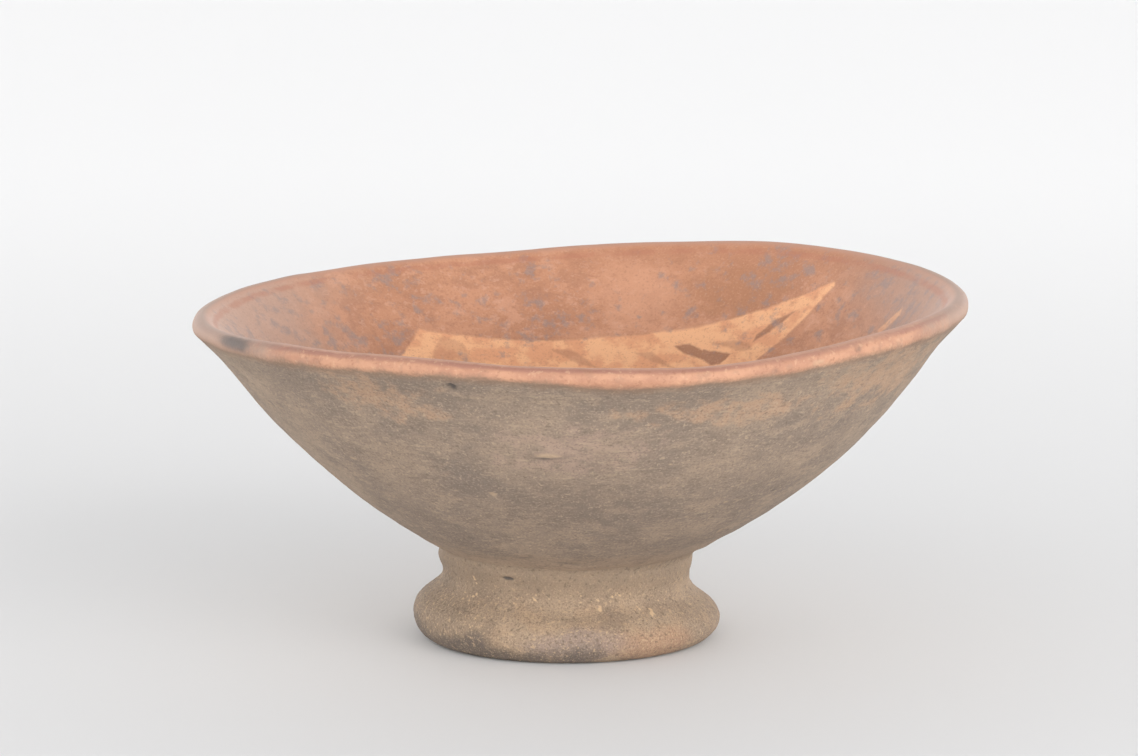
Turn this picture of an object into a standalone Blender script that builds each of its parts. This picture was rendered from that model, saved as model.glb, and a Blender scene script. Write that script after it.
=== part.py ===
# A hand-built pottery bowl on a low hollow ring foot.
# Bowl and foot are joined while the clay is wet and fired together, so they are one solid.
# Units are metres, +Z is up, and the bowl stands on Z = 0 with the middle of its box at X = Y = 0.

from math import asin, atan2, cos, pi, radians, sin

import bmesh
import bpy
from mathutils import Vector

# Rim and lip
RIM_RADIUS = 0.0967
BOWL_HEIGHT = 0.0850
LIP_ROUND = 0.0026
FLARE_DROP = 0.0130
FLARE_INSET = 0.0086
FLARE_ANGLE = radians(45)

# Wall of the bowl
WALL_THICKNESS = 0.0055
WALL_TURN = radians(26.5)
FLOOR_THICKNESS = 0.0065
FLOOR_CURVE_RADIUS = 0.040

# Ring foot
FOOT_HEIGHT = 0.0231
WAIST_RADIUS = 0.0320
JOINT_FILLET = 0.0016
NECK_HEIGHT = 0.0160
NECK_RADIUS = 0.0310
TOE_RADIUS = 0.0386
TOE_ROUND = 0.0053
TOE_TURN = radians(40)
TREAD_WIDTH = 0.0050
FOOT_WALL = 0.0068

# How far the hand-built bowl strays from a turned one: the foot sits to one side of the rim's
# centre and is thicker on the left, and the rim rises and falls around the bowl.
FOOT_SHIFT = -0.0034
FOOT_LOPSIDE = 0.0013
BASE_SHIFT = -0.0017
SHIFT_END_HEIGHT = 0.0500
RIM_RISE_RIGHT = 0.0028
RIM_RISE_BACK = 0.0010
RIM_SADDLE = 0.0005
RIM_SADDLE_DIAGONAL = 0.0009
RIM_RIPPLE = -0.0004
RIM_CORNERS = -0.0005

# Fineness of the faceted solid
SEGMENTS = 72
CLAY_COLOUR = (0.33, 0.245, 0.18, 1.0)
CLAY_ROUGHNESS = 0.85


def arc(centre, radius, first, last, steps):
    """Points of an arc, each at centre + radius * (cos a, sin a), both ends included."""
    angles = [first + (last - first) * k / steps for k in range(steps + 1)]
    return [Vector((centre.x + radius * cos(a), centre.y + radius * sin(a))) for a in angles]


def sweep(start, start_direction, end, end_direction, steps):
    """Cubic curve from start to end that leaves and arrives along the given directions."""
    reach = (end - start).length * 0.38
    first_handle = start + start_direction * reach
    last_handle = end - end_direction * reach
    points = []
    for k in range(steps + 1):
        t = k / steps
        points.append(start * (1 - t) ** 3 + first_handle * 3 * t * (1 - t) ** 2
                      + last_handle * 3 * t ** 2 * (1 - t) + end * t ** 3)
    return points


def heading(angle):
    """Unit vector that points outwards at angle 0 and upwards at a right angle."""
    return Vector((cos(angle), sin(angle)))


def wall_circle(start, end, turn):
    """Centre, radius and start slope of the arc that bends upwards by turn from start to end."""
    chord = end - start
    slope = atan2(chord.y, chord.x) - turn / 2
    radius = chord.length / 2 / sin(turn / 2)
    return start + heading(slope + pi / 2) * radius, radius, slope


def bowl_profile():
    """Half section as (radius, height), from the middle of the floor round to under the floor."""
    wall_start = Vector((WAIST_RADIUS + JOINT_FILLET, FOOT_HEIGHT + JOINT_FILLET / 2))
    wall_end = Vector((RIM_RADIUS - FLARE_INSET, BOWL_HEIGHT - FLARE_DROP))
    centre, radius, slope = wall_circle(wall_start, wall_end, WALL_TURN)
    end_slope = slope + WALL_TURN
    lip_centre = Vector((RIM_RADIUS - LIP_ROUND, BOWL_HEIGHT - LIP_ROUND))

    # The inside runs parallel to the outside, and the floor is a flatter round in the middle.
    inner_radius = radius - WALL_THICKNESS
    inner_slope = asin((FLOOR_CURVE_RADIUS - centre.x) / inner_radius)
    inner_start = centre + heading(inner_slope - pi / 2) * inner_radius
    floor_radius = FLOOR_CURVE_RADIUS / sin(inner_slope)
    floor_centre = Vector((0.0, inner_start.y + floor_radius * cos(inner_slope)))
    floor = arc(floor_centre, floor_radius, -pi / 2, inner_slope - pi / 2, 5)
    inner_wall = arc(centre, inner_radius, inner_slope - pi / 2, end_slope - pi / 2, 7)
    lip = arc(lip_centre, LIP_ROUND, FLARE_ANGLE + pi / 2, FLARE_ANGLE - pi / 2, 8)
    inner_flare = sweep(inner_wall[-1], heading(end_slope), lip[0], heading(FLARE_ANGLE), 3)
    outer_flare = sweep(lip[-1], heading(FLARE_ANGLE + pi), wall_end, heading(end_slope + pi), 3)
    outer_wall = arc(centre, radius, end_slope - pi / 2, slope - pi / 2, 8)

    # The foot flares from its neck to a rounded toe and stands on a flat tread.
    waist = Vector((WAIST_RADIUS, FOOT_HEIGHT - JOINT_FILLET))
    joint = sweep(wall_start, heading(slope + pi), waist, heading(-pi / 2), 3)
    neck = Vector((NECK_RADIUS, NECK_HEIGHT))
    toe = arc(Vector((TOE_RADIUS - TOE_ROUND, TOE_ROUND)), TOE_ROUND, TOE_TURN, -pi / 2, 6)
    outer_neck = sweep(waist, heading(-pi / 2), neck, heading(-pi / 2), 2)
    instep = sweep(neck, heading(-pi / 2), toe[0], heading(TOE_TURN - pi / 2), 4)

    # The hollow under the bowl follows the foot's wall up to the underside of the floor.
    underside_radius = floor_radius + FLOOR_THICKNESS
    hollow_radius = NECK_RADIUS - FOOT_WALL
    corner_angle = asin(hollow_radius / underside_radius) - pi / 2
    underside = arc(floor_centre, underside_radius, corner_angle, -pi / 2, 4)
    tread_edge = Vector((TOE_RADIUS - TOE_ROUND - TREAD_WIDTH, 0.0))
    inner_foot = sweep(tread_edge, heading(pi / 2), underside[0], heading(pi / 2), 5)

    runs = (floor, inner_wall, inner_flare, lip, outer_flare, outer_wall, joint, outer_neck,
            instep, toe, inner_foot, underside)
    points = list(runs[0])
    for run in runs[1:]:
        first = 1 if (run[0] - points[-1]).length < 1e-6 else 0
        points.extend(run[first:])
    points[0].x = 0.0
    points[-1].x = 0.0
    return points


def turned_mesh(profile):
    """Closed mesh made by spinning the half section once around the vertical axis."""
    mesh_data = bmesh.new()
    corners = [mesh_data.verts.new((p.x, 0.0, p.y)) for p in profile]
    edges = [mesh_data.edges.new(pair) for pair in zip(corners, corners[1:])]
    bmesh.ops.spin(mesh_data, geom=corners + edges, cent=(0.0, 0.0, 0.0), axis=(0.0, 0.0, 1.0),
                   angle=2 * pi, steps=SEGMENTS, use_merge=True)
    bmesh.ops.remove_doubles(mesh_data, verts=mesh_data.verts[:], dist=1e-6)
    bmesh.ops.recalc_face_normals(mesh_data, faces=mesh_data.faces[:])
    return mesh_data


def side_shift(height):
    """How far a level of the clay lies from the rim's centre line, along X."""
    if height < FOOT_HEIGHT - JOINT_FILLET:
        return FOOT_SHIFT
    if height < FOOT_HEIGHT + JOINT_FILLET:
        share = (height - FOOT_HEIGHT + JOINT_FILLET) / (2 * JOINT_FILLET)
        return FOOT_SHIFT + (BASE_SHIFT - FOOT_SHIFT) * share
    share = (height - FOOT_HEIGHT - JOINT_FILLET) / (SHIFT_END_HEIGHT - FOOT_HEIGHT - JOINT_FILLET)
    return BASE_SHIFT * max(1 - share, 0.0)


def rim_rise(angle):
    """Height of the crest above its mean, at an angle measured from +X towards +Y."""
    return (RIM_RISE_RIGHT * cos(angle) + RIM_RISE_BACK * sin(angle)
            + RIM_SADDLE * cos(2 * angle) + RIM_SADDLE_DIAGONAL * sin(2 * angle)
            + RIM_RIPPLE * (sin(3 * angle) + sin(4 * angle)) + RIM_CORNERS * cos(4 * angle))


def shape_by_hand(mesh_data):
    """Move the turned points sideways and up, more towards the rim, then centre the box."""
    for corner in mesh_data.verts:
        x, y, height = corner.co
        climb = (height - FOOT_HEIGHT) / (BOWL_HEIGHT - FOOT_HEIGHT)
        if climb > 0:
            corner.co.z = height + rim_rise(atan2(y, x)) * climb ** 1.5
        else:
            corner.co.z = height - FOOT_LOPSIDE * x / TOE_RADIUS * sin(pi * height / FOOT_HEIGHT)
        corner.co.x = x + side_shift(height)
    for axis in (0, 1):
        reach = [corner.co[axis] for corner in mesh_data.verts]
        middle = (min(reach) + max(reach)) / 2
        for corner in mesh_data.verts:
            corner.co[axis] -= middle


def fired_clay():
    """Matt grey-brown fired clay."""
    material = bpy.data.materials.new("fired_clay")
    material.use_nodes = True
    shader = material.node_tree.nodes["Principled BSDF"]
    shader.inputs["Base Color"].default_value = CLAY_COLOUR
    shader.inputs["Roughness"].default_value = CLAY_ROUGHNESS
    shader.inputs["Metallic"].default_value = 0.0
    material.diffuse_color = CLAY_COLOUR
    return material


def footed_bowl():
    """The bowl and its foot as one object, smooth except at the tread's edges."""
    mesh_data = turned_mesh(bowl_profile())
    shape_by_hand(mesh_data)
    mesh = bpy.data.meshes.new("footed_bowl")
    mesh_data.to_mesh(mesh)
    mesh_data.free()
    mesh.materials.append(fired_clay())
    mesh.shade_smooth()
    mesh.set_sharp_from_angle(angle=radians(40))
    bowl = bpy.data.objects.new("footed_bowl", mesh)
    bpy.context.scene.collection.objects.link(bowl)
    return bowl


for leftover in list(bpy.data.objects):
    bpy.data.objects.remove(leftover, do_unlink=True)
footed_bowl()
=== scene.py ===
from math import asin, atan2, cos, pi, radians, sin

import bpy
import numpy as np
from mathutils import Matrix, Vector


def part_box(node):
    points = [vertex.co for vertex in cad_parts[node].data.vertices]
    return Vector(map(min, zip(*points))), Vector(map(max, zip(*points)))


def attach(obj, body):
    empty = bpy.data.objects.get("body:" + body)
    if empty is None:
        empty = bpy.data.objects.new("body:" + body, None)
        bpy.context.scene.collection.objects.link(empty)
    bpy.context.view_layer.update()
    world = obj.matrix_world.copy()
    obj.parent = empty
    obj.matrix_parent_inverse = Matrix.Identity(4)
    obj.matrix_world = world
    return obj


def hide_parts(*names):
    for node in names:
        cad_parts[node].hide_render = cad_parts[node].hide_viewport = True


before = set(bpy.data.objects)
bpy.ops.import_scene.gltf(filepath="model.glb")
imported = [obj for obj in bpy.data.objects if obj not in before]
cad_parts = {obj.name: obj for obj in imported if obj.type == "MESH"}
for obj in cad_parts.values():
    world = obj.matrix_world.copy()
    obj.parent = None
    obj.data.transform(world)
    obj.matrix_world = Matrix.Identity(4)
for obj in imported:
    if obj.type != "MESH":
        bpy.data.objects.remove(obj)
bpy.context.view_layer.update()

# The bowl is coil-built clay, smoothed wet by hand and rolled over into a lip, so its wall is one
# skin from the middle of the floor over the lip to the underside. A half section is carried round
# the axis and pushed off true; the foot is a separate ring of clay pressed on below.
RIM_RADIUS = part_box("footed_bowl")[1].x
BOWL_HEIGHT = 0.0850
LIP_ROUND = 0.0026
FLARE_DROP = 0.0130
FLARE_INSET = 0.0086
FLARE_ANGLE = radians(45)
WALL_THICKNESS = 0.0055
WALL_TURN = radians(26.5)
FLOOR_THICKNESS = 0.0065
FLOOR_CURVE_RADIUS = 0.040
FOOT_HEIGHT = 0.0231
WAIST_RADIUS = 0.0320
JOINT_FILLET = 0.0016
HOLLOW_RADIUS = 0.0242
TOE_RADIUS = 0.0386
FOOT_SHIFT = -0.0034
BASE_SHIFT = -0.0017
SHIFT_END_HEIGHT = 0.0500
FOOT_LOPSIDE = 0.0013
RIM_RISE_RIGHT = 0.0028
RIM_RISE_BACK = 0.0010
RIM_SADDLE = 0.0005
RIM_SADDLE_DIAGONAL = 0.0009
RIM_RIPPLE = -0.0004
RIM_CORNERS = -0.0005
RIM_SWELL = 0.0013
RIM_SWELL_ANGLE = radians(258)
RIM_SWELL_WIDTH = radians(24)
POLE_ANGLE = 0.001
ROUND_STEPS = 560


def arc(centre, radius, first, last, steps):
    """Points at the centre plus the radius times the cosine and sine of each angle, from the first
    angle to the last."""
    a = np.linspace(first, last, steps + 1)
    return np.stack([centre[0] + radius * np.cos(a), centre[1] + radius * np.sin(a)], axis=1)


def sweep(start, start_angle, end, end_angle, steps):
    """Cubic curve that leaves and arrives along two angles, with two handles that are each 0.38 of
    the straight distance long."""
    reach = 0.38 * np.hypot(*(end - start))
    leave = start + reach * np.array([cos(start_angle), sin(start_angle)])
    arrive = end - reach * np.array([cos(end_angle), sin(end_angle)])
    t = np.linspace(0, 1, steps + 1)[:, None]
    return (start * (1 - t) ** 3 + 3 * leave * (1 - t) ** 2 * t
            + 3 * arrive * (1 - t) * t ** 2 + end * t ** 3)


def joined(runs):
    """One line of points from several runs that each start where the last one ends."""
    return np.concatenate([runs[0]] + [run[1:] for run in runs[1:]])


def rim_rise(a):
    """Height of the crest above its mean at angle a: a tilt by the cosine and sine of the angle, a
    saddle by those of twice the angle, ripples by three and four times it, and one low swell in
    front."""
    swell = RIM_SWELL * np.exp(-((a - RIM_SWELL_ANGLE) / RIM_SWELL_WIDTH) ** 4)
    return (swell + RIM_RISE_RIGHT * np.cos(a) + RIM_RISE_BACK * np.sin(a)
            + RIM_SADDLE * np.cos(2 * a) + RIM_SADDLE_DIAGONAL * np.sin(2 * a)
            + RIM_RIPPLE * (np.sin(3 * a) + np.sin(4 * a)) + RIM_CORNERS * np.cos(4 * a))


def carried_round(section, steps):
    """The section turned round the axis, then pushed off true: each level is shifted along X, the
    crest's rise is added in full at the rim and fades to nothing at the foot, and the foot is
    thicker on the left by a share of X."""
    a = np.arange(steps) * 2 * pi / steps
    r = section[:, :1]
    z = section[:, 1:]
    shift = np.interp(z, [FOOT_HEIGHT - JOINT_FILLET, FOOT_HEIGHT + JOINT_FILLET, SHIFT_END_HEIGHT],
                      [FOOT_SHIFT, BASE_SHIFT, 0.0])
    climb = np.clip((z - FOOT_HEIGHT) / (BOWL_HEIGHT - FOOT_HEIGHT), 0, None)
    low = np.sin(pi * np.clip(z / FOOT_HEIGHT, 0, 1)) * FOOT_LOPSIDE / TOE_RADIUS
    x = r * np.cos(a)
    return np.stack([x + shift, r * np.sin(a), z + rim_rise(a) * climb ** 1.5 - low * x], axis=2)


# Large odd numbers that scramble a lattice corner into a random value.
MIX_X = 374761393
MIX_Y = 668265263
MIX_Z = 2246822519
MIX_SEED = 3266489917
MIX_AGAIN = 1274126177
LATTICE_START = 97.0


def field(points, size, seed, octaves):
    """Smooth noise from -1 to 1: random values at lattice corners a size apart, each weighted by
    three times the square less twice the cube of its nearness along each axis. Every further
    octave adds a layer at half the size and half the height."""
    total = 0.0
    for k in range(octaves):
        scaled = points / (size / 2 ** k) + LATTICE_START
        cell = np.floor(scaled).astype(np.int64)
        nearness = scaled - cell
        nearness = nearness * nearness * (3 - 2 * nearness)
        for corner in np.ndindex(2, 2, 2):
            at = (cell + corner).astype(np.uint64)
            mixed = (at[..., 0] * MIX_X + at[..., 1] * MIX_Y + at[..., 2] * MIX_Z
                     + (seed + 31 * k) * MIX_SEED) & 0xFFFFFFFF
            mixed = ((mixed ^ (mixed >> 13)) * MIX_AGAIN) & 0xFFFFFFFF
            value = ((mixed ^ (mixed >> 16)) & 0xFFFF) / 32767.5 - 1
            share = np.prod(np.where(corner, nearness, 1 - nearness), axis=-1)
            total = total + value * share * 0.5 ** k
    return total


def ease(x, low, high):
    """0 below low and 1 above high, and between them three times the square of the share of the
    way less twice its cube."""
    t = np.clip((x - low) / (high - low), 0, 1)
    return t * t * (3 - 2 * t)


def normals(grid):
    """Unit normals of a closed grid: steps along the section crossed with steps round it."""
    across = np.gradient(grid, axis=0)
    around = np.roll(grid, -1, axis=1) - np.roll(grid, 1, axis=1)
    n = np.cross(across, around)
    return n / np.maximum(np.linalg.norm(n, axis=2, keepdims=True), 1e-12)


def spot(grid, angle, height, width, tall):
    """1 at a place on the wall, fading as e to the minus square of the distance from it, which is
    counted in half widths sideways and half heights upwards."""
    a = np.arctan2(grid[..., 1], grid[..., 0]) - radians(angle)
    a = (a + pi) % (2 * pi) - pi
    sideways = a * np.hypot(grid[..., 0], grid[..., 1])
    return np.exp(-(sideways / width) ** 2 - ((grid[..., 2] - height) / tall) ** 2)


def clay_mesh(name, grid, ends):
    """Mesh of a grid that closes round the axis. ends "poles" closes each end to its middle point,
    and ends "ring" joins the last row to the first."""
    rows, steps = grid.shape[:2]
    index = np.arange(rows * steps).reshape(rows, steps)
    if ends == "ring":
        index = np.concatenate([index, index[:1]])
    beside = np.roll(index, -1, axis=1)
    quads = np.stack([index[:-1], index[1:], beside[1:], beside[:-1]], axis=2).reshape(-1, 4)
    faces = quads.tolist()
    points = grid.reshape(-1, 3)
    if ends == "poles":
        points = np.concatenate([points, grid[:1].mean(axis=1), grid[-1:].mean(axis=1)])
        top, bottom = len(points) - 2, len(points) - 1
        faces += np.stack([np.full(steps, top), index[0], beside[0]], axis=1).tolist()
        faces += np.stack([np.full(steps, bottom), beside[-1], index[-1]], axis=1).tolist()
    mesh = bpy.data.meshes.new(name)
    mesh.from_pydata(points.tolist(), [], faces)
    mesh.shade_smooth()
    piece = bpy.data.objects.new(name, mesh)
    bpy.context.scene.collection.objects.link(piece)
    return piece


def keep_on_points(piece, name, values, pole_values):
    """Store one number for each point of the mesh, for its material to read."""
    attribute = piece.data.attributes.new(name, "FLOAT", "POINT")
    attribute.data.foreach_set("value", np.append(values.ravel(), pole_values).astype(np.float32))


wall_start = np.array([WAIST_RADIUS + JOINT_FILLET, FOOT_HEIGHT + JOINT_FILLET / 2])
wall_end = np.array([RIM_RADIUS - FLARE_INSET, BOWL_HEIGHT - FLARE_DROP])
chord = wall_end - wall_start
slope = atan2(chord[1], chord[0]) - WALL_TURN / 2
end_slope = slope + WALL_TURN
wall_radius = np.hypot(*chord) / 2 / sin(WALL_TURN / 2)
wall_centre = wall_start + wall_radius * np.array([-sin(slope), cos(slope)])
inner_radius = wall_radius - WALL_THICKNESS
inner_slope = asin((FLOOR_CURVE_RADIUS - wall_centre[0]) / inner_radius)
floor_radius = FLOOR_CURVE_RADIUS / sin(inner_slope)
floor_centre = np.array([0.0, wall_centre[1] - inner_radius * cos(inner_slope)
                         + floor_radius * cos(inner_slope)])
lip_centre = np.array([RIM_RADIUS - LIP_ROUND, BOWL_HEIGHT - LIP_ROUND])

inner_wall = arc(wall_centre, inner_radius, inner_slope - pi / 2, end_slope - pi / 2, 58)
lip = arc(lip_centre, LIP_ROUND, FLARE_ANGLE + pi / 2, FLARE_ANGLE - pi / 2, 18)
outer_wall = arc(wall_centre, wall_radius, end_slope - pi / 2, slope - pi / 2, 56)
underside_radius = floor_radius + FLOOR_THICKNESS
corner = asin(HOLLOW_RADIUS / underside_radius) - pi / 2
underside = arc(floor_centre, underside_radius, corner, POLE_ANGLE - pi / 2, 9)
bowl_section = joined([
    arc(floor_centre, floor_radius, POLE_ANGLE - pi / 2, inner_slope - pi / 2, 14),
    inner_wall,
    sweep(inner_wall[-1], end_slope, lip[0], FLARE_ANGLE, 8),
    lip,
    sweep(lip[-1], FLARE_ANGLE + pi, wall_end, end_slope + pi, 9),
    outer_wall,
    sweep(wall_start, slope + pi, underside[0], corner - pi / 2, 5),
    underside,
])

steps_along = np.hypot(*np.diff(bowl_section, axis=0).T)
from_crest = np.concatenate([[0], np.cumsum(steps_along)])
from_crest = (from_crest - from_crest[bowl_section[:, 1].argmax()])[:, None]
bowl_grid = carried_round(bowl_section, ROUND_STEPS)
turn = np.arange(ROUND_STEPS) * 2 * pi / ROUND_STEPS
on_rim = np.stack([np.cos(turn), np.sin(turn), 0 * turn], axis=1) * RIM_RADIUS

# How far down the outside the slip was carried, which is further at one place in front.
SLIP_REACH = 0.0053
SLIP_RUN = 0.0020
SLIP_RUN_ANGLE = radians(277)
SLIP_RUN_WIDTH = 0.115
SLIP_WAVE = 0.0005
slip_edge = (SLIP_REACH + SLIP_RUN * np.exp(-((turn - SLIP_RUN_ANGLE) / SLIP_RUN_WIDTH) ** 2)
             + SLIP_WAVE * field(on_rim, 0.014, 3, 2))
past_slip = from_crest - slip_edge

# Relief of the hand-smoothed clay: broad lumps, small dents, wiping marks that run round the bowl,
# smears above the foot, and the slip's thickness, which ends in a shallow groove.
LUMPS = 0.00030
DENTS = 0.00010
DENTS_LOST_AT_LIP = 0.00005
WIPED_OUTSIDE = 0.00007
WIPED_INSIDE = 0.00005
LIP_WAVES = 0.00009
SMEARS = 0.00030
SMEAR_HEIGHT = 0.0265
SMEAR_SPREAD = 0.0030
SLIP_THICKNESS = 0.00009
GROOVE_DEPTH = 0.00012
GROOVE_PAST_SLIP = 0.0014
GROOVE_WIDTH = 0.0011
WIPING_STRETCH = [1, 1, 7]
past_crest = ease(from_crest, 0.0002, 0.0016)
outside = ease(from_crest, 0.002, 0.008)
inside = 1 - ease(from_crest, -0.008, -0.002)
lip_near = np.exp(-(from_crest / 0.006) ** 2)
stretched = bowl_grid * WIPING_STRETCH
relief = LUMPS * field(bowl_grid, 0.032, 11, 2)
relief += (DENTS - DENTS_LOST_AT_LIP * lip_near) * field(bowl_grid, 0.009, 12, 2)
relief += outside * WIPED_OUTSIDE * field(stretched, 0.016, 13, 3)
smeared = outside * np.exp(-((bowl_grid[..., 2] - SMEAR_HEIGHT) / SMEAR_SPREAD) ** 2)
relief += smeared * SMEARS * field(stretched, 0.014, 16, 2)
relief += inside * WIPED_INSIDE * field(stretched, 0.018, 14, 2)
relief += lip_near * LIP_WAVES * field(on_rim, 0.019, 15, 2)
slipped = (1 - ease(past_slip, -0.0009, 0.0009)) * ease(from_crest, 0.001, 0.003)
relief += SLIP_THICKNESS * slipped
relief -= GROOVE_DEPTH * np.exp(-((past_slip - GROOVE_PAST_SLIP) / GROOVE_WIDTH) ** 2)

# Marks left on the outside, as angle in degrees, height, half width and half height in
# millimetres, how far they stand out in millimetres, and how much paler (1) or darker (-1).
# First comes the pit under the lip, whose dark colour is painted shade, then scrapes, scars and
# pits, among them a painted shadow just below the raised scar, and last the soot on the lip.
RANDOM_MARKS = 150
marks = [
    # Painted shade: the dark colour of the deep pit under the lip.
    (251.3, 78.0, 1.1, 0.9, -1.50, -1.8),
    (264.5, 60.4, 4.0, 0.7, 0.55, 1.5),
    # Painted shadow: this dark mark just below the raised scar stands for the scar's shadow.
    (263.8, 59.3, 2.0, 0.4, -0.20, -1.2),
    (222.8, 54.3, 2.0, 0.8, 0.18, 0.9),
    (250.0, 27.0, 2.4, 0.5, -0.30, -0.8),
    (262.5, 25.6, 2.0, 0.6, -0.25, -0.8),
    (268.0, 25.4, 1.6, 0.5, -0.30, -0.9),
    (287.0, 27.4, 2.6, 0.4, -0.25, -0.7),
    (251.8, 47.9, 1.6, 0.8, -0.30, 1.3),
    (286.0, 57.2, 0.9, 0.6, -0.15, 1.1),
    (286.2, 56.0, 1.2, 0.4, -0.12, -0.6),
    (200.4, 72.4, 0.9, 0.8, -0.50, -1.0),
    (202.1, 70.5, 0.9, 0.8, -0.50, -1.0),
    (206.0, 65.0, 1.3, 0.8, -0.45, -0.9),
    (210.0, 65.6, 1.3, 0.8, -0.45, -0.9),
    (298.1, 81.4, 1.4, 1.0, -0.35, -0.7),
    (312.7, 84.1, 1.2, 1.0, -0.35, -0.7),
    (305.5, 82.5, 2.4, 1.1, -0.20, 0.8),
    (210.3, 82.0, 10.5, 1.8, 0.00, -1.40),
]
dice = np.random.default_rng(41)
for _ in range(RANDOM_MARKS):
    marks.append((dice.uniform(0, 360), dice.uniform(26, 78), dice.uniform(0.5, 1.8),
                  dice.uniform(0.35, 0.8), dice.uniform(-0.30, 0.10), dice.uniform(-0.9, 1.1)))
# Blue-grey blotches in the slip inside, as angle in degrees, and height and half width in
# millimetres. They are two thirds as high as wide.
blotches = [
    (139.3, 69.4, 1.9), (138.0, 67.6, 1.4), (140.0, 72.2, 1.2), (128.2, 69.8, 1.8),
    (121.4, 71.5, 1.3), (135.7, 80.9, 2.8), (125.5, 80.3, 1.9), (145.8, 66.6, 1.6),
    (132.9, 66.3, 1.2), (127.9, 65.2, 1.5), (144.7, 70.1, 1.4), (108.6, 73.1, 1.6),
    (105.9, 65.7, 2.2), (100.1, 71.5, 1.5), (78.1, 68.6, 1.3), (70.2, 81.2, 1.6),
    (67.5, 77.3, 1.5), (68.2, 70.7, 2.6), (55.2, 86.0, 2.2), (46.4, 83.6, 1.5),
    (40.2, 75.7, 2.0), (34.6, 73.4, 1.8), (29.6, 75.0, 2.2), (21.6, 72.8, 1.8),
    (12.4, 80.2, 1.5), (43.3, 66.7, 1.7), (36.1, 69.0, 2.4), (26.5, 83.0, 1.4),
    (115.1, 60.8, 1.6), (106.1, 59.9, 1.4), (150.0, 78.8, 1.8), (98.6, 79.8, 1.5),
]


def marked(grid, marks):
    """Relief and paleness that marks add up to: each is its spot times how far it stands out, and
    times how much paler it is."""
    relief = np.zeros(grid.shape[:2])
    stain_and_shade = np.zeros(grid.shape[:2])
    for angle, height, width, tall, depth, paler in marks:
        mark = spot(grid, angle, height / 1000, width / 1000, tall / 1000)
        relief += mark * depth / 1000
        stain_and_shade += mark * paler
    return relief, stain_and_shade


mark_relief, stain_and_shade = marked(bowl_grid, marks)
relief += past_crest * mark_relief
stain_and_shade *= past_crest
for angle, height, size in blotches:
    stain_and_shade -= inside * spot(bowl_grid, angle, height / 1000, size / 1000, size / 1500)
bowl_grid += normals(bowl_grid) * relief[..., None]

bowl = clay_mesh("bowl_wall", bowl_grid, "poles")
keep_on_points(bowl, "from_crest", from_crest + 0 * turn, [from_crest[0, 0], from_crest[-1, 0]])
keep_on_points(bowl, "past_slip", past_slip, [past_slip[0].mean(), past_slip[-1].mean()])
keep_on_points(bowl, "stain_and_shade", stain_and_shade, [0.0, 0.0])


class Tone:
    """A number, place or colour that varies over the clay. Arithmetic on numbers adds Math
    nodes."""

    def __init__(self, socket):
        self.socket = socket

    def node(self, kind, settings, values, output=0):
        """A new node of a kind. Its settings are set first, then a value or link for each
        socket."""
        tree = self.socket.id_data
        made = tree.nodes.new(kind)
        for name, setting in settings.items():
            setattr(made, name, setting)
        for key, value in values.items():
            if isinstance(value, Tone):
                tree.links.new(value.socket, made.inputs[key])
            else:
                made.inputs[key].default_value = value
        return Tone(made.outputs[output]) if len(made.outputs) else None

    def maths(self, operation, first, second=0.0):
        """A Math node on two numbers."""
        return self.node("ShaderNodeMath", {"operation": operation}, {0: first, 1: second})

    def __add__(self, other):
        return self.maths("ADD", self, other)

    def __sub__(self, other):
        return self.maths("SUBTRACT", self, other)

    def __rsub__(self, other):
        return self.maths("SUBTRACT", other, self)

    def __mul__(self, other):
        return self.maths("MULTIPLY", self, other)

    __radd__ = __add__
    __rmul__ = __mul__

    def least(self, other):
        """The smaller of two numbers."""
        return self.maths("MINIMUM", self, other)

    def most(self, other):
        """The larger of two numbers."""
        return self.maths("MAXIMUM", self, other)

    def above(self, low, high):
        """0 where the number is below low, 1 above high and a smooth step between."""
        return self.node("ShaderNodeMapRange", {"interpolation_type": "SMOOTHSTEP"},
                         {"Value": self, "From Min": low, "From Max": high})

    def between(self, first, second):
        """The colour this share, from 0 to 1, of the way from the first colour to the second."""
        return self.node("ShaderNodeMix", {"data_type": "RGBA"}, {0: self, 6: first, 7: second}, 2)

    def grain(self, size, detail, rough=0.5, moved=(0, 0, 0), stretch=(1, 1, 1)):
        """Noise round 0.5 with spots about a size apart, in metres, at this place after it is
        moved and stretched."""
        at = self.node("ShaderNodeMapping", {}, {"Location": moved, "Scale": stretch,
                                                 "Vector": self})
        return self.node("ShaderNodeTexNoise", {},
                         {"Vector": at, "Scale": 1 / size, "Detail": detail, "Roughness": rough})


def clay_start(name):
    """A new material, and the place on its piece as a whole and as three numbers in millimetres."""
    material = bpy.data.materials.new(name)
    material.use_nodes = True
    nodes = material.node_tree.nodes
    nodes.clear()
    place = Tone(nodes.new("ShaderNodeTexCoord").outputs["Object"])
    across = [place.node("ShaderNodeSeparateXYZ", {}, {0: place}, k) * 1000 for k in range(3)]
    return material, place, *across


def clay_finish(colour, roughness, bumps, depth):
    """Principled surface from a colour, a roughness and bumps of a depth in metres."""
    normal = colour.node("ShaderNodeBump", {}, {"Distance": depth, "Height": bumps})
    shader = colour.node("ShaderNodeBsdfPrincipled", {},
                         {"Base Color": colour, "Roughness": roughness, "Normal": normal})
    colour.node("ShaderNodeOutputMaterial", {}, {"Surface": shader})


def fired(red, green, blue, light):
    """Linear colour of clay that looks like this 0 to 255 colour in a light with this strength of
    red, green and blue: the display curve is undone and the strengths divided out."""
    shares = np.array([red, green, blue]) / 255
    return (*((shares + 0.055) / 1.055) ** 2.4 / light, 1.0)


def cloud(place, middle, radii):
    """Soft ellipsoid: 1 less the sum of the squares of the steps from its middle, each counted in
    its radius, so 1 at the middle and 0 on the ellipsoid."""
    steps = [(at - m) * (1 / r) for at, m, r in zip(place, middle, radii)]
    return 1 - (steps[0] * steps[0] + steps[1] * steps[1] + steps[2] * steps[2])


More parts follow.
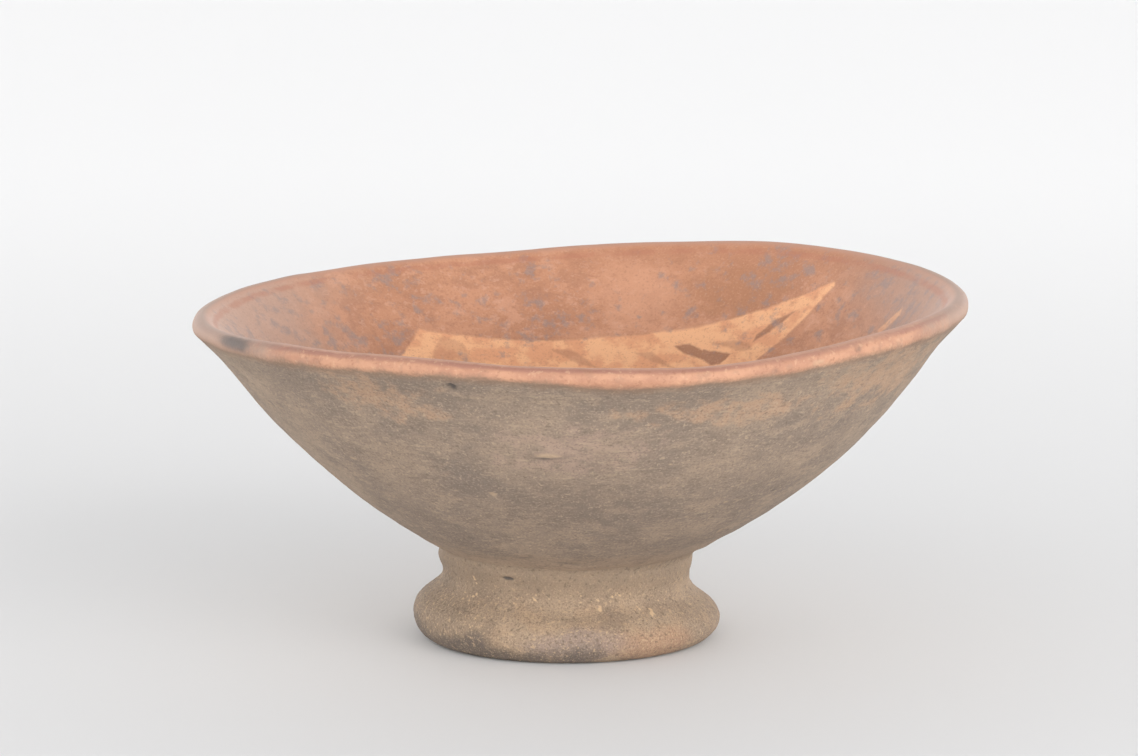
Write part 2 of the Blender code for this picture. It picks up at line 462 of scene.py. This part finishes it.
def panel(x, y, corners):
    """1 inside a convex straight-edged patch seen from above, with its corners anticlockwise: the
    least distance inwards from any edge line, smoothed over the paint's soft edge."""
    inwards = None
    for (x0, y0), (x1, y1) in zip(corners, corners[1:] + corners[:1]):
        length = np.hypot(x1 - x0, y1 - y0)
        a, b = (y0 - y1) / length, (x1 - x0) / length
        distance = x * a + y * b - (x0 * a + y0 * b)
        inwards = distance if inwards is None else inwards.least(distance)
    return inwards.above(-PAINT_EDGE, PAINT_EDGE)


# The fired surface: bare grey-brown clay outside with fire clouds, an orange-red slip inside that
# is carried over the lip, and a figure painted inside in a paler slip.
PAINT_EDGE = 0.35
OUTSIDE_LIGHT = (1.31, 1.34, 1.37)
INSIDE_LIGHT = (1.36, 1.42, 1.46)
LIP_LIGHT = (1.57, 1.62, 1.69)
clay, place, x, y, z = clay_start("fired_clay_and_slip")
crest = place.node("ShaderNodeAttribute", {"attribute_name": "from_crest"}, {}, 2) * 1000
past_edge = place.node("ShaderNodeAttribute", {"attribute_name": "past_slip"}, {}, 2) * 1000
stain_and_shade_value = place.node("ShaderNodeAttribute", {"attribute_name": "stain_and_shade"}, {}, 2)


def out_colour(red, green, blue):
    """Linear colour of clay that looks like this 0 to 255 colour on the outside."""
    return fired(red, green, blue, OUTSIDE_LIGHT)


def in_colour(red, green, blue):
    """Linear colour of clay that looks like this 0 to 255 colour on the inside."""
    return fired(red, green, blue, INSIDE_LIGHT)


def lip_colour(red, green, blue):
    """Linear colour of clay that looks like this 0 to 255 colour on the lip."""
    return fired(red, green, blue, LIP_LIGHT)


fine = place.grain(0.0006, 2.0)
medium = place.grain(0.0045, 4.0, 0.6)
broad = place.grain(0.024, 4.0, 0.55)
hairs = place.grain(0.0036, 3.0, 0.65, stretch=(1, 1, 5))
strokes = place.grain(0.010, 5.0, 0.68, (0.2, 0, 0), (1, 1, 1.9))
patches = place.grain(0.009, 4.0, 0.62, (0.7, 0, 0), (1, 1, 1.6))
specks = place.grain(0.0013, 2.0, 0.6, (0.4, 0.1, 0))

# Bare clay is grey-brown, cooler in places and paler near the foot, with tan fire clouds below the
# rim, fine hairs from wiping, and dark and light specks.
bare = broad.above(0.40, 0.62).between(out_colour(162, 143, 125), out_colour(146, 130, 116))
cool = place.grain(0.020, 3.0, 0.6, (0.3, 0, 0)).above(0.52, 0.68)
bare = (cool * 0.65).between(bare, out_colour(136, 122, 111))
toward_foot = (z * -1.0 + (medium - 0.5) * 12).above(-29.0, -23.5)
bare = (toward_foot * 0.85).between(bare, out_colour(176, 154, 133))
bare = (strokes.above(0.48, 0.64) * 0.6).between(bare, out_colour(178, 156, 134))
bare = (strokes.above(0.46, 0.34) * 0.5).between(bare, out_colour(132, 116, 103))
fire = (cloud((x, y, z), (-46, -76, 74), (20, 15, 8.0))
        .most(cloud((x, y, z), (34, -80, 71.5), (32, 18, 4.6)))
        .most(cloud((x, y, z), (76, -52, 76), (28, 34, 14))))
fire_cloud = (fire + (medium - 0.5) * 4.0 + (strokes - 0.5) * 3.0).above(0.1, 1.3)
bare = (fire_cloud * 0.75).between(bare, out_colour(190, 155, 126))
dusty = (cloud((x, y, z), (-2, -84, 60), (26, 20, 11)) + (medium - 0.5) * 3.0).above(0.2, 1.2)
bare = (dusty * 0.7).between(bare, out_colour(188, 161, 143))
low_dark = (cloud((x, y, z), (-4, -66, 44), (30, 22, 13)) + (medium - 0.5) * 2.4).above(0.1, 1.1)
bare = (low_dark * 0.65).between(bare, out_colour(132, 117, 105))
hair_share = patches.above(0.40, 0.58) * 0.34 + 0.10
bare = (hairs.above(0.54, 0.68) * hair_share).between(bare, out_colour(196, 174, 148))
bare = (hairs.above(0.45, 0.32) * hair_share).between(bare, out_colour(120, 104, 92))
bare = (fine.above(0.55, 0.68) * 0.45).between(bare, out_colour(124, 108, 96))
bare = (fine.above(0.45, 0.32) * 0.45).between(bare, out_colour(190, 168, 146))
bare = (specks.above(0.62, 0.74) * 0.5).between(bare, out_colour(112, 97, 86))
bare = (specks.above(0.38, 0.27) * 0.5).between(bare, out_colour(204, 181, 154))
# Painted shade: the clay just below the slip's edge is darker brown, where shade falls under the
# lip.
shade_under_lip = 1 - (past_edge + (medium - 0.5) * 4.0).above(0.2, 3.6)
bare = (shade_under_lip * 0.7).between(bare, out_colour(152, 122, 100))

# The slip is orange and mottled, duller at the two ends, with painted brown shade under the rim.
slip = broad.above(0.38, 0.62).between(in_colour(212, 157, 124), in_colour(196, 142, 110))
slip = (patches.above(0.50, 0.64) * 0.7).between(slip, in_colour(186, 135, 107))
slip = (patches.above(0.46, 0.34) * 0.6).between(slip, in_colour(222, 169, 139))
mottle = place.grain(0.0026, 3.0, 0.7, (0.1, 0.9, 0), (1, 1, 1.5))
slip = (mottle.above(0.53, 0.68) * 0.4).between(slip, in_colour(230, 184, 160))
slip = (mottle.above(0.46, 0.32) * 0.4).between(slip, in_colour(172, 122, 98))
left_end = (x * -1.0 + (broad - 0.5) * 40).above(52, 84)
slip = (left_end * 0.8).between(slip, in_colour(198, 167, 150))
right_end = (x + (broad - 0.5) * 40).above(60, 88)
slip = (right_end * 0.8).between(slip, in_colour(188, 155, 138))
# Painted shade: darker brown on the inside wall under the far rim.
shaded = (cloud((x, y, z), (44, 72, 77), (26, 16, 10)) + (medium - 0.5) * 2.4).above(0.0, 1.0)
slip = (shaded * 0.7).between(slip, in_colour(184, 132, 98))
back_edge = crest.above(-14, -5) * y.above(30, 60) * x.above(-25, 15)
slip = (back_edge * 0.6).between(slip, in_colour(188, 134, 103))
# A paler, more orange patch on the far inside wall.
paler_patch = (cloud((x, y, z), (15, 80, 74), (15, 18, 11)) + (medium - 0.5) * 2.4).above(0.0, 1.0)
slip = (paler_patch * 0.6).between(slip, in_colour(222, 168, 136))

# The painted figure lies on the far side. Seen from above it is a crescent between an arc and a
# straight stripe, crossed by slanting bands where the ground shows, all with hand-drawn edges.
ARC_TOP = 73.7
ARC_BEND = 0.00425
drawn_x = x + (medium - 0.5) * 1.4
drawn_y = y + (strokes - 0.5) * 1.4
under_arc = drawn_y * -1.0 + ARC_TOP - drawn_x * drawn_x * ARC_BEND
arc_side = under_arc.above(-PAINT_EDGE, PAINT_EDGE)
crescent = arc_side * panel(drawn_x, drawn_y, [(-49.2, 52.2), (66.4, 53.9), (66.4, 80.0),
                                               (-35.2, 80.0)])
ground_bands = [
    ([(25.3, 67.6), (27.3, 65.6), (31.5, 62.4), (32.5, 63.6), (29.1, 66.9)], 1.0),
    ([(31.5, 62.6), (34.5, 59.5), (36.8, 58.6), (39.4, 59.3), (35.6, 62.0), (32.6, 63.8)], 1.0),
    ([(45.4, 58.6), (51.4, 57.8), (55.8, 57.3), (51.9, 59.3), (46.5, 59.5)], 0.75),
    ([(34.9, 64.4), (42.0, 58.6), (45.1, 57.2), (44.4, 59.0), (40.8, 61.9)], 0.3),
    ([(-7.2, 71.4), (0.2, 68.3), (4.6, 67.6), (-0.4, 70.9), (-3.0, 71.6)], 0.32),
    ([(14.5, 69.2), (19.5, 66.0), (24.8, 63.0), (19.1, 68.2)], 0.3),
    ([(-38.6, 61.5), (-30.0, 59.0), (-27.5, 64.5), (-30.5, 67.8), (-34.5, 67.9), (-37.0, 66.8)],
     0.2),
]
ground = 0.0
for corners, strength in ground_bands:
    ground = (panel(drawn_x, drawn_y, corners) * strength).most(ground)
chevron = panel(drawn_x, drawn_y, [(76.2, 26.2), (75.6, 24.6), (81.2, 20.6), (82.0, 22.6)])
worn = place.grain(0.0032, 4.0, 0.7, (0.6, 0.6, 0)).above(0.52, 0.72)
ground = (ground * (1.25 - worn * 0.5)).least(1.0)
paint = (crescent * (1 - ground * 0.9)).most(chevron * 0.6) * (1 - worn * 0.45)
inner_side = 1 - crest.above(-3.6, -3.0)
pale = patches.above(0.44, 0.58).between(in_colour(254, 198, 152), in_colour(238, 176, 134))
slip = (paint * inner_side * 0.95).between(slip, pale)
slip = (crescent * ground * 0.7).between(slip, in_colour(166, 120, 92))
blots = place.grain(0.0036, 4.0, 0.65, (0.2, 0.1, 0.4)) + (broad - 0.5) * 0.5
blots = (blots - stain_and_shade_value * 0.20 - paint * 0.05).above(0.53, 0.73)
slip = (blots * 0.65).between(slip, in_colour(157, 143, 141))
slip = (fine.above(0.56, 0.70) * 0.3).between(slip, in_colour(158, 116, 94))
slip = (fine.above(0.42, 0.30) * 0.25).between(slip, in_colour(228, 182, 152))

# The lip is rubbed: a pinkish crest, partly a painted sheen highlight, a dark red line along its
# outer edge and an orange face.
wander = crest + (medium - 0.5) * 1.4
inner_line = wander.above(-5.2, -4.0) * (1 - wander.above(-3.4, -2.4))
slip = (inner_line * (patches * 2.6 - 0.9).least(0.5)).between(slip, in_colour(186, 122, 98))
# Pinkish crest: the rubbed slip's own colour with a painted sheen highlight along the top.
slip = (wander.above(-2.6, -0.7) * 0.85).between(slip, lip_colour(212, 164, 141))
face = patches.above(0.42, 0.60).between(lip_colour(222, 168, 136), lip_colour(206, 152, 124))
slip = wander.above(1.6, 3.0).between(slip, face)
red_line = wander.above(0.9, 1.7) * (1 - wander.above(2.2, 3.2))
slip = (red_line * (broad * 2.2 - 0.45).least(0.9)).between(slip, lip_colour(184, 132, 116))
slip = (medium.above(0.56, 0.68) * crest.above(-1.0, 1.5) * 0.45).between(
    slip, lip_colour(188, 146, 122))
slip = (specks.above(0.57, 0.70) * crest.above(0.0, 2.0) * 0.45).between(
    slip, lip_colour(172, 122, 98))
slip = (specks.above(0.42, 0.30) * crest.above(0.0, 2.0) * 0.4).between(
    slip, lip_colour(240, 196, 162))
cooler_right = (x + (medium - 0.5) * 30).above(76, 92)
cooler_left = (x * -1.0 + (medium - 0.5) * 30).above(64, 80)
cooler = cooler_right.most(cooler_left)
slip = (cooler * crest.above(-1.5, 0.5) * 0.75).between(slip, lip_colour(182, 154, 138))

# Clay shows bare past the slip's ragged edge, and the marks lie over both.
bare_share = (past_edge + (patches - 0.5) * 3.0 + (fine - 0.5) * 1.2).above(-1.1, 1.1)
surface = bare_share.between(slip, bare)
# Dark marks: stains, pits and soot, with the pit's painted shade and the scar's painted shadow.
dark_stain_and_shade = (stain_and_shade_value * -1.0 + (medium - 0.5) * 0.9).above(0.15, 1.3) * crest.above(-0.6, 1.0)
surface = (dark_stain_and_shade * 0.85).between(surface, out_colour(88, 82, 80))
pale_stain = (stain_and_shade_value + (medium - 0.5) * 1.2).above(0.35, 1.0) * crest.above(-0.6, 0.6)
surface = (pale_stain * 0.6).between(surface, out_colour(210, 182, 150))
bumps = fine * 0.3 + medium * (bare_share * 0.4 + 0.1) + hairs * bare_share * 0.5
SLIP_ROUGHNESS = 0.66
ROUGHER_WHERE_BARE = 0.20
BUMP_DEPTH = 0.00032
roughness = bare_share * ROUGHER_WHERE_BARE + SLIP_ROUGHNESS
clay_finish(surface, roughness, bumps, BUMP_DEPTH)
bowl.data.materials.append(clay)
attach(bowl, "root")
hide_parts("footed_bowl")

# The ring foot is a thick coil of gritty clay pressed under the bowl and spread into a rounded toe.
# It is left unslipped, is darker low down on the left and is hollow inside.
NECK_HEIGHT = 0.0160
NECK_RADIUS = 0.0310
TOE_ROUND = 0.0053
TOE_TURN = radians(40)
TREAD_WIDTH = 0.0050
SEAT_OVERLAP = 0.0002
BURIED_INWARDS = 0.0030
BURIED_UPWARDS = 0.0012
FOOT_STEPS = 440

waist = np.array([WAIST_RADIUS, FOOT_HEIGHT - JOINT_FILLET])
neck = np.array([NECK_RADIUS, NECK_HEIGHT])
toe = arc((TOE_RADIUS - TOE_ROUND, TOE_ROUND), TOE_ROUND, TOE_TURN, -pi / 2, 46)
tread_inner = np.array([TOE_RADIUS - TOE_ROUND - TREAD_WIDTH, 0.0])
seat = wall_start + np.array([SEAT_OVERLAP, SEAT_OVERLAP])
buried = np.array([wall_start[0] - BURIED_INWARDS, wall_start[1] + BURIED_UPWARDS])
foot_section = joined([
    sweep(buried, 0.0, seat, -pi / 2, 4),
    sweep(seat, slope + pi, waist, -pi / 2, 12),
    sweep(waist, -pi / 2, neck, -pi / 2, 20),
    sweep(neck, -pi / 2, toe[0], TOE_TURN - pi / 2, 44),
    toe,
    sweep(toe[-1], pi, tread_inner, pi, 12),
    sweep(tread_inner, pi / 2, underside[0], pi / 2, 32),
    sweep(underside[0], pi / 2, buried, 0.0, 6)[:-1],
])
foot_grid = carried_round(foot_section, FOOT_STEPS)

# Relief of the gritty clay: lumps, dents, sand grains and smears round the neck. It fades out on
# the tread, which stands flat, and where the foot is buried in the bowl.
FOOT_LUMPS = 0.00025
FOOT_DENTS = 0.00010
SAND_GRAINS = 0.00007
NECK_SMEARS = 0.00030
NECK_SMEAR_HEIGHT = 0.0200
NECK_SMEAR_SPREAD = 0.0022
NECK_STRETCH = [1, 1, 3]
levels = foot_grid[..., 2]
showing = ease(levels, 0.0002, 0.0020) * (1 - ease(levels, 0.0226, 0.0240))
grit = FOOT_LUMPS * field(foot_grid, 0.018, 21, 2) + FOOT_DENTS * field(foot_grid, 0.005, 22, 2)
grit += SAND_GRAINS * field(foot_grid, 0.0013, 23, 2)
neck_smear = np.exp(-((levels - NECK_SMEAR_HEIGHT) / NECK_SMEAR_SPREAD) ** 2)
grit += neck_smear * NECK_SMEARS * field(foot_grid * NECK_STRETCH, 0.008, 24, 2)

# Marks on the foot, given as on the bowl: a dark slot and the scratch and shade beside it, a light
# grain, a hollow, a pit and a dark patch.
LOOSE_GRAINS = 160
foot_marks = [
    (243.0, 19.9, 1.7, 0.55, -0.80, -1.6),
    (248.0, 18.6, 2.6, 0.30, -0.25, -0.7),
    (237.1, 21.8, 2.2, 1.6, 0.00, -0.45),
    (308.5, 11.0, 0.45, 0.5, 0.30, 1.5),
    (297.3, 14.0, 1.8, 1.4, -0.30, -0.35),
    (310.5, 13.7, 0.5, 0.5, -0.20, -1.1),
    (217.4, 6.5, 1.0, 2.0, -0.15, -0.6),
]
# Clusters of light grains, as angle, height, how many, and half width and half height.
SPREAD_ANGLE = 1.7
SPREAD_HEIGHT = 0.9
grain_clusters = [
    (224.0, 18.3, 7, 0.7, 2.2), (221.0, 14.0, 7, 1.4, 0.6), (255.0, 15.0, 8, 2.2, 0.9),
    (274.0, 15.2, 9, 1.8, 1.1), (284.3, 13.4, 9, 1.0, 1.2), (294.0, 16.1, 8, 1.8, 0.7),
    (307.5, 11.7, 12, 2.4, 1.3), (232.8, 9.0, 9, 1.3, 0.8),
]
for angle, height, count, width, tall in grain_clusters:
    for _ in range(count):
        size = dice.uniform(0.20, 0.34)
        foot_marks.append((angle + dice.normal() * width * SPREAD_ANGLE,
                           height + dice.normal() * tall * SPREAD_HEIGHT,
                           size, size, dice.uniform(0.05, 0.20), dice.uniform(0.9, 1.8)))
for _ in range(LOOSE_GRAINS):
    size = dice.uniform(0.25, 0.55)
    foot_marks.append((dice.uniform(0, 360), dice.uniform(3, 18), size, size,
                       dice.uniform(-0.10, 0.20), dice.uniform(-0.9, 1.2)))
mark_relief, stain_and_shade = marked(foot_grid - [FOOT_SHIFT, 0, 0], foot_marks)
grit += mark_relief
foot_grid += normals(foot_grid) * (grit * showing)[..., None]
foot = clay_mesh("ring_foot", foot_grid, "ring")
keep_on_points(foot, "stain_and_shade", stain_and_shade, [])

FOOT_LIGHT = (1.51, 1.51, 1.55)
FOOT_ROUGHNESS = 0.88
FOOT_BUMP_DEPTH = 0.00050


def foot_colour(red, green, blue):
    """Linear colour of clay that looks like this 0 to 255 colour on the foot."""
    return fired(red, green, blue, FOOT_LIGHT)


gritty, place, x, y, z = clay_start("gritty_clay")
stain_and_shade_value = place.node("ShaderNodeAttribute", {"attribute_name": "stain_and_shade"}, {}, 2)
sand = place.grain(0.00045, 2.0, 0.7)
coarse = place.grain(0.0010, 1.0, 0.5, (0.4, 0, 0.2))
patches = place.grain(0.011, 4.0, 0.62)
body = patches.above(0.42, 0.62).between(foot_colour(182, 157, 133), foot_colour(162, 139, 119))
tawny = place.grain(0.008, 3.0, 0.6, (0.5, 0, 0)).above(0.50, 0.68)
body = (tawny * 0.6).between(body, foot_colour(192, 162, 133))
body = (z.above(12.0, 19.0) * 0.65).between(body, foot_colour(160, 138, 117))
# Darker on the left: partly the clay's own greyer colour, partly painted shade away from the light.
body = ((x * -1.0 + (patches - 0.5) * 20).above(16, 38) * 0.65).between(
    body, foot_colour(144, 125, 108))
upper = (z + (patches - 0.5) * 12).above(18.2, 23.2)
body = (upper * 0.7).between(body, foot_colour(163, 142, 122))
low_right = (cloud((x, y, z), (19, -33, 4), (16, 15, 6)) + (patches - 0.5) * 2.0).above(0.0, 0.9)
body = (low_right * 0.7).between(body, foot_colour(186, 146, 118))
low_middle = (cloud((x, y, z), (-2, -38, 5), (18, 12, 5)) + (patches - 0.5) * 2.4).above(0.0, 0.9)
body = (low_middle * 0.6).between(body, foot_colour(164, 144, 136))
# Darker grey low down on the left, near the ground.
dark_low_left = (z * -1.0 + (patches - 0.5) * 18 - x * 0.11).above(-4.4, 0.8) * (1 - x.above(2, 22))
body = (dark_low_left * 0.85).between(body, foot_colour(112, 101, 94))
grain_share = 1 - z.above(12, 21) * 0.65
body = (sand.above(0.54, 0.68) * grain_share * 0.65).between(body, foot_colour(122, 102, 86))
body = (sand.above(0.46, 0.32) * grain_share * 0.6).between(body, foot_colour(216, 187, 154))
body = (coarse.above(0.61, 0.73) * grain_share * 0.5).between(body, foot_colour(226, 192, 154))
body = (coarse.above(0.38, 0.28) * 0.5).between(body, foot_colour(104, 88, 76))
pale_stain = (stain_and_shade_value + (sand - 0.5) * 2.0).above(0.45, 1.2)
body = (pale_stain * 0.8).between(body, foot_colour(236, 200, 160))
# Dark marks on the foot: the slot, pit and patches, and the painted shade beside the slot.
dark_stain_and_shade = (stain_and_shade_value * -1.0 + (sand - 0.5) * 0.8).above(0.4, 1.1)
body = (dark_stain_and_shade * 0.85).between(body, foot_colour(88, 82, 80))
bumps = sand * 0.7 + coarse * 0.5 + patches * 0.4
clay_finish(body, FOOT_ROUGHNESS, bumps, FOOT_BUMP_DEPTH)
foot.data.materials.append(gritty)
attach(foot, "root")
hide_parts("footed_bowl")

# The studio floor is one wide round sheet of pale paper, painted lighter further out: painted light
# where more light falls. It reaches past every side that the bowl is looked at from.
FLOOR_RINGS = np.array([0.0005, 0.2, 0.5, 1.0, 2.0, 4.0, 8.0])
FLOOR_STEPS = 96
PAPER_NEAR = (0.69, 0.69, 0.695, 1.0)
PAPER_FAR_PAINTED_LIGHT = (0.84, 0.84, 0.845, 1.0)
around = np.arange(FLOOR_STEPS) * 2 * pi / FLOOR_STEPS
rings = FLOOR_RINGS[:, None]
floor_grid = np.stack([rings * np.cos(around), rings * np.sin(around), 0 * rings * around], axis=2)
cells = np.arange(rings.size * FLOOR_STEPS).reshape(-1, FLOOR_STEPS)
turned = np.roll(cells, -1, axis=1)
floor_faces = np.stack([cells[:-1], cells[1:], turned[1:], turned[:-1]], axis=2).reshape(-1, 4)
floor_mesh = bpy.data.meshes.new("paper_floor")
floor_mesh.from_pydata(floor_grid.reshape(-1, 3).tolist(), [],
                       floor_faces.tolist() + [cells[0].tolist()])
paper_floor = bpy.data.objects.new("paper_floor", floor_mesh)
bpy.context.scene.collection.objects.link(paper_floor)
paper, place, *_ = clay_start("pale_paper")
reach = place.node("ShaderNodeVectorMath", {"operation": "LENGTH"}, {0: place}, 1)
# Painted light: the paper grows paler with distance from the bowl.
paper_and_painted_light = reach.above(0.10, 1.0).between(PAPER_NEAR, PAPER_FAR_PAINTED_LIGHT)
paper_shader = place.node("ShaderNodeBsdfPrincipled", {}, {"Base Color": paper_and_painted_light,
                                                           "Roughness": 0.9})
place.node("ShaderNodeOutputMaterial", {}, {"Surface": paper_shader})
floor_mesh.materials.append(paper)

# Soft light: a white room that is brightest low down all round and a little brighter in front,
# behind and on the left, and one large box to the right in front.
AIM_HEIGHT = 0.05
LOW_GLOW = 4.1
FRONT_GLOW = 1.17
BACK_GLOW = 1.0
LEFT_GLOW = 0.45
EVEN_GLOW = 0.275


def softbox(name, place_at, size, power):
    """Square area light that faces the bowl and isn't seen itself."""
    lamp = bpy.data.lights.new(name, "AREA")
    lamp.size = size
    lamp.energy = power
    holder = bpy.data.objects.new(name, lamp)
    holder.location = place_at
    x, y, z = place_at
    holder.rotation_euler = (atan2(np.hypot(x, y), z - AIM_HEIGHT), 0.0, atan2(x, -y))
    holder.visible_camera = False
    bpy.context.scene.collection.objects.link(holder)


softbox("front_right_box", (1.1, -1.3, 0.65), 1.3, 13.3)
room = bpy.data.worlds.new("room")
room.use_nodes = True
way = Tone(room.node_tree.nodes.new("ShaderNodeTexCoord").outputs["Generated"])
right, back, up = [way.node("ShaderNodeSeparateXYZ", {}, {0: way}, k) for k in range(3)]
low = 1 - up
front = (back * -1.0).most(0.0)
back = back.most(0.0)
left = (right * -1.0).most(0.0)
power = (low * low * low * LOW_GLOW + front * front * FRONT_GLOW + back * back * BACK_GLOW
         + left * left * LEFT_GLOW + EVEN_GLOW)
room.node_tree.nodes["Background"].inputs["Color"].default_value = (1.0, 1.0, 1.0, 1.0)
room.node_tree.links.new(power.socket, room.node_tree.nodes["Background"].inputs["Strength"])
bpy.context.scene.world = room
bpy.context.scene.view_settings.view_transform = "Standard"

# The camera stands 1.28 m away, a little above the rim, and looks slightly down.
CAMERA_DISTANCE = 1.28
CAMERA_ELEVATION = radians(12.5)
CAMERA_SIDE = -0.00275
CAMERA_PITCH = 0.1678
FOCAL_PIXELS = 5063.0
IMAGE_WIDTH = 1138
eye = bpy.data.cameras.new("camera")
eye.sensor_width = 36.0
eye.lens = FOCAL_PIXELS * 36.0 / IMAGE_WIDTH
eye.clip_start = 0.05
camera = bpy.data.objects.new("camera", eye)
camera.location = (CAMERA_SIDE, -CAMERA_DISTANCE * cos(CAMERA_ELEVATION),
                   CAMERA_DISTANCE * sin(CAMERA_ELEVATION))
camera.rotation_euler = (pi / 2 - CAMERA_PITCH, 0.0, 0.0)
bpy.context.scene.collection.objects.link(camera)
bpy.context.scene.camera = camera
